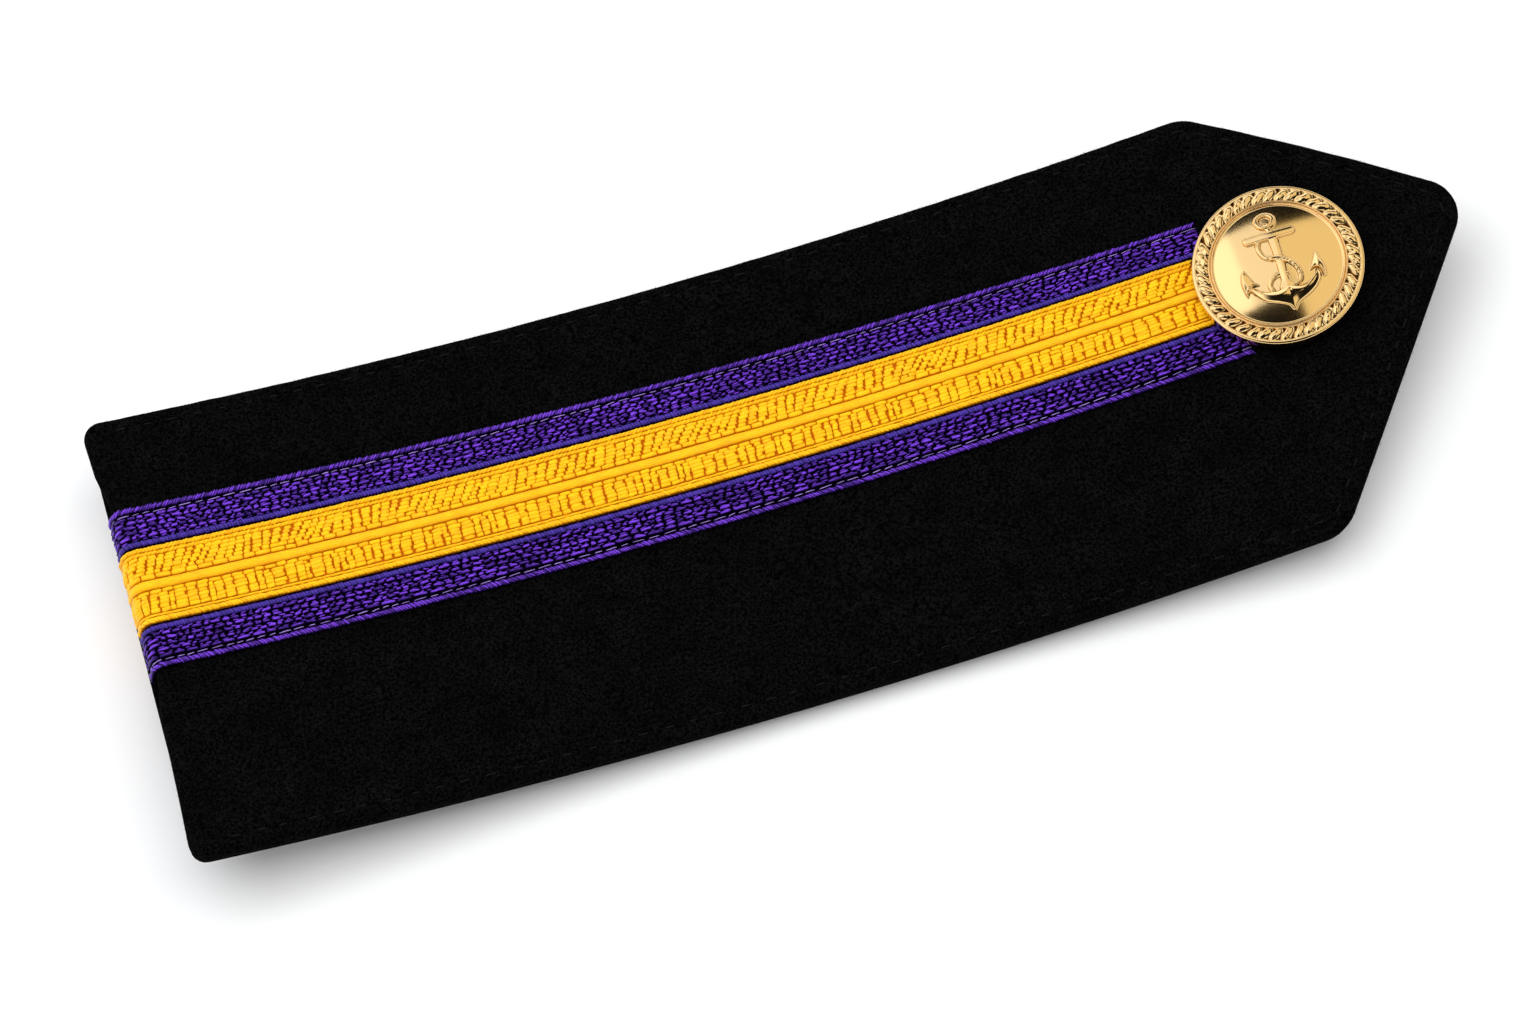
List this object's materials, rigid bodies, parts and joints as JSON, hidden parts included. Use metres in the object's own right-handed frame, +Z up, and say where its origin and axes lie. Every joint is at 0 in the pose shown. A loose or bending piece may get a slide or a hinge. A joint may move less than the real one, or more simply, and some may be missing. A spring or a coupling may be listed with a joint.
{
  "type": "shoulder board",
  "caption": "Bowed black cloth shoulder board with a pointed end, purple, yellow and purple braid turned round the square end, and a gilt anchor button.",
  "frame": {"origin": "under the middle of the board's box, on the surface that it lies on", "axes": "+X along the board towards its point, +Y across it towards the side where the braid lies, +Z up from the surface"},
  "size_m": [0.1556, 0.0536, 0.0116],
  "materials": {
    "black_doeskin": "matte",
    "black_felt": "matte",
    "purple_braid": "satin",
    "yellow_braid": "satin",
    "gilt_brass": "polished",
    "plain_brass": "satin"
  },
  "bodies": {
    "root": {"cloth_cover": "black_doeskin", "backing_cloth": "black_felt", "upper_purple_braid": "purple_braid", "yellow_braid": "yellow_braid", "lower_purple_braid": "purple_braid", "button_shell": "gilt_brass", "button_post": "plain_brass"}
  },
  "joints": []
}
